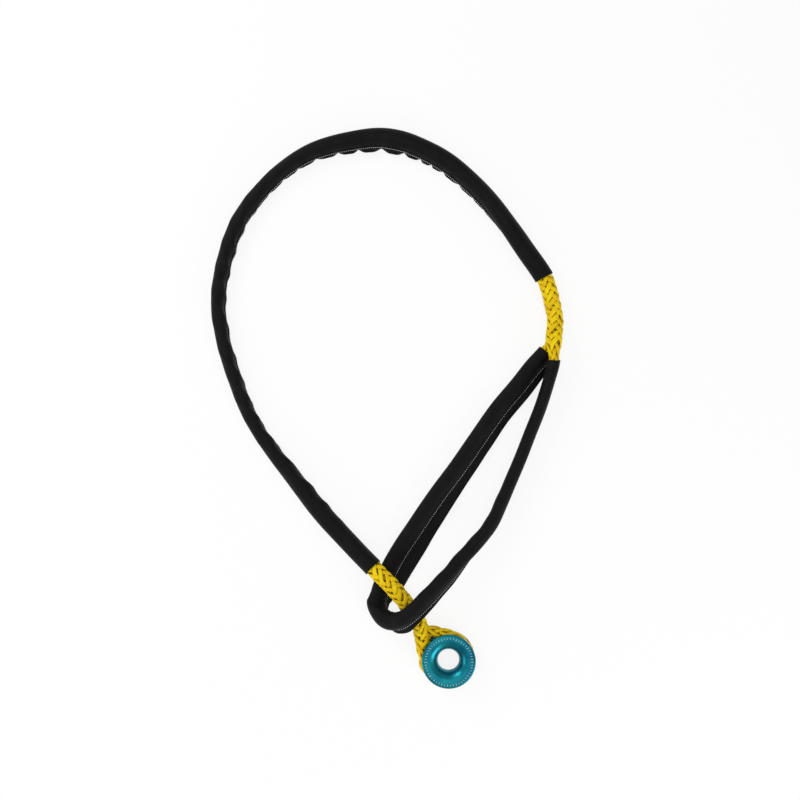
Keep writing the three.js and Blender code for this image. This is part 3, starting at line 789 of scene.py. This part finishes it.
body_shape = body_lie()
body_shape["root"] = body_shape["long"] + body_ripple(body_shape["distance"], 0)
body_sleeve = sleeve("fabric_sleeve_of_body", body_shape, body_ripple, "body_sleeve")
stitches("needle_stitches_of_body", body_shape, 1, "body_sleeve_needle_thread")
stitches("bobbin_stitches_of_body", body_shape, -1, "body_sleeve_bobbin_thread")
eye_shape = sleeve_lie_of_eye()
eye_shape["root"] = eye_shape["long"] + eye_ripple(eye_shape["distance"], 0)
eye_sleeve = sleeve("fabric_sleeve_of_eye", eye_shape, eye_ripple, "eye_sleeve")
stitches("needle_stitches_of_eye", eye_shape, 1, "eye_sleeve_needle_thread")
stitches("bobbin_stitches_of_eye", eye_shape, -1, "eye_sleeve_bobbin_thread")


def ring_profile():
    """From the bore's middle over the upper face to the groove's middle, as [radius, height]."""
    face_outer = RING_RADIUS - EDGE_RADIUS
    face_inner = face_outer - FACE_WIDTH
    trumpet = np.linspace(0, math.pi / 2, 28)
    edge = np.linspace(0, math.pi / 2, 8)
    groove = np.linspace(math.pi / 2, math.pi, 14)
    edge_out, edge_up = EDGE_RADIUS * np.sin(edge), EDGE_RADIUS * np.cos(edge)
    lip = [RING_RADIUS, GROOVE_RADIUS + 1.6 * GROOVE_FLARE]
    lip_inside = [RING_RADIUS - 0.3 * MM, GROOVE_RADIUS + GROOVE_FLARE / 2]
    half = np.concatenate([
        np.stack([face_inner - (face_inner - BORE_RADIUS) * np.cos(trumpet), RING_HALF * np.sin(trumpet)], 1),
        np.stack([face_outer + edge_out, RING_HALF - EDGE_RADIUS + edge_up], 1),
        [lip, lip_inside],
        np.stack([ROPE_LINE_RADIUS + GROOVE_RADIUS * np.cos(groove), GROOVE_RADIUS * np.sin(groove)], 1),
    ])
    lower = half[1:-1][::-1] * [1, -1]
    return np.concatenate([half, lower])


def turned_ring():
    shape = bmesh.new()
    corners = [shape.verts.new((radius, 0, height)) for radius, height in ring_profile()]
    edges = [shape.edges.new(pair) for pair in zip(corners, corners[1:] + corners[:1])]
    bmesh.ops.spin(
        shape, geom=corners + edges, cent=(0, 0, 0), axis=(0, 0, 1), angle=TURN, steps=RING_FACETS, use_merge=True
    )
    bmesh.ops.remove_doubles(shape, verts=shape.verts, dist=0.001 * MM)
    bmesh.ops.recalc_face_normals(shape, faces=shape.faces)
    bmesh.ops.translate(shape, verts=shape.verts, vec=RING_CENTRE)
    return finished(shape, "turned_ring", ALUMINIUM, "ring")


def engraved_ticks():
    """Plain strokes round the ring's upper face, as a laser marks a scale through the dye."""
    shape = bmesh.new()
    middle = RING_RADIUS - EDGE_RADIUS - FACE_WIDTH / 2
    for tick in range(TICKS):
        is_long = tick % TICKS_PER_LONG == 0
        stroke = Matrix.Diagonal((TICK_LENGTH * (1.6 if is_long else 1), TICK_WIDTH, TICK_RISE, 1))
        place = Matrix.Translation((middle, 0, RING_HALF))
        turn = Matrix.Rotation(TURN * tick / TICKS, 4, "Z")
        bmesh.ops.create_cube(shape, size=1, matrix=Matrix.Translation(RING_CENTRE) @ turn @ place @ stroke)
    return finished(shape, "engraved_ticks", ENGRAVED, "ring")


ring = turned_ring()
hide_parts("rigging_ring")
engraved_ticks()


def lock_stitches(name, node, route, marks, bearing, radius_of):
    """A few bights of whipping twine that hold the tail in its splice."""
    verts = []
    for mark in marks:
        run = np.linspace(mark - 3 * MM, mark + 3 * MM, 9)
        arch = np.sin(np.linspace(0, math.pi, 9))
        radius = radius_of(run) - 1.1 * MM + 1.6 * MM * arch
        line = across(route.stations(run), radius, 0 * radius, np.full_like(run, bearing) + (run - mark) * 30)
        along = unit(np.gradient(line, axis=0))
        side = unit(np.cross(along, UP))
        out = np.cross(side, along)
        around = np.arange(8) / 8 * TURN
        circle = side[:, None] * np.cos(around)[:, None] + out[:, None] * np.sin(around)[:, None]
        verts.append(line[:, None] + LOCK_THREAD_RADIUS * circle)
    obj = new_object(name, verts, tube_faces(len(marks), 9, 8), LOCK_THREAD)
    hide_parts(node)


lock_stitches(
    "lock_stitches_of_eye_splice", "eye_splice_lock_stitch", standing,
    [body_sleeve_end + mark for mark in EYE_LOCKS], EYE_LOCK_BEARING, standing_radius,
)
lock_stitches(
    "lock_stitches_of_ring_splice", "ring_splice_lock_stitch", standing,
    RING_LOCKS, RING_LOCK_BEARING, standing_radius,
)

# Studio: a pale floor, soft boxes above, an even sky
floor_mesh = bpy.data.meshes.new("floor")
floor_mesh.from_pydata([(-4, -4, 0), (4, -4, 0), (4, 4, 0), (-4, 4, 0)], [], [(0, 1, 2, 3)])
floor = bpy.data.objects.new("floor", floor_mesh)
scene.collection.objects.link(floor)
floor_material, floor_tree, floor_shader = new_material("studio_floor")
floor_shader.inputs["Base Color"].default_value = (FLOOR_GREY, FLOOR_GREY, FLOOR_GREY, 1)
floor_shader.inputs["Roughness"].default_value = 0.9
seen = add_node(floor_tree, "ShaderNodeLightPath")
rays = {0: seen.outputs["Is Glossy Ray"], 1: seen.outputs["Is Camera Ray"]}
mirrored = add_node(floor_tree, "ShaderNodeMath", rays)
share = add_node(floor_tree, "ShaderNodeMath", {0: mirrored.outputs[0], 1: FLOOR_GLOW}, operation="MULTIPLY")
glow = add_node(floor_tree, "ShaderNodeEmission", {"Color": (1, 1, 1, 1), "Strength": 1.0})
looks = {0: share.outputs[0], 1: floor_shader.outputs[0], 2: glow.outputs[0]}
mixed = add_node(floor_tree, "ShaderNodeMixShader", looks)
floor_tree.links.new(mixed.outputs[0], floor_tree.nodes["Material Output"].inputs["Surface"])
floor_mesh.materials.append(floor_material)


def soft_box(name, location, size, power, target=(0, 0, 0)):
    data = bpy.data.lights.new(name, "AREA")
    data.shape, data.size, data.size_y, data.energy = "RECTANGLE", size[0], size[1], power
    light = bpy.data.objects.new(name, data)
    light.location = location
    light.rotation_euler = (Vector(location) - Vector(target)).to_track_quat("Z", "Y").to_euler()
    scene.collection.objects.link(light)


soft_box("overhead", (0, 0, 2.4), (2.2, 2.2), 14)
soft_box("key", (-1.3, 1.2, 1.2), (0.9, 0.9), 14)
soft_box("low_right", (1.1, -1.35, 0.75), (0.8, 0.6), 10, RING_CENTRE)
soft_box("left_edge", (-1.3, -0.8, 0.6), (0.7, 0.5), 4, RING_CENTRE)

scene.view_settings.view_transform = "Standard"
scene.view_settings.look = "None"

world = bpy.data.worlds.new("studio")
world.use_nodes = True
world.node_tree.nodes["Background"].inputs["Color"].default_value = (1, 1, 1, 1)
world.node_tree.nodes["Background"].inputs["Strength"].default_value = 0.5
scene.world = world
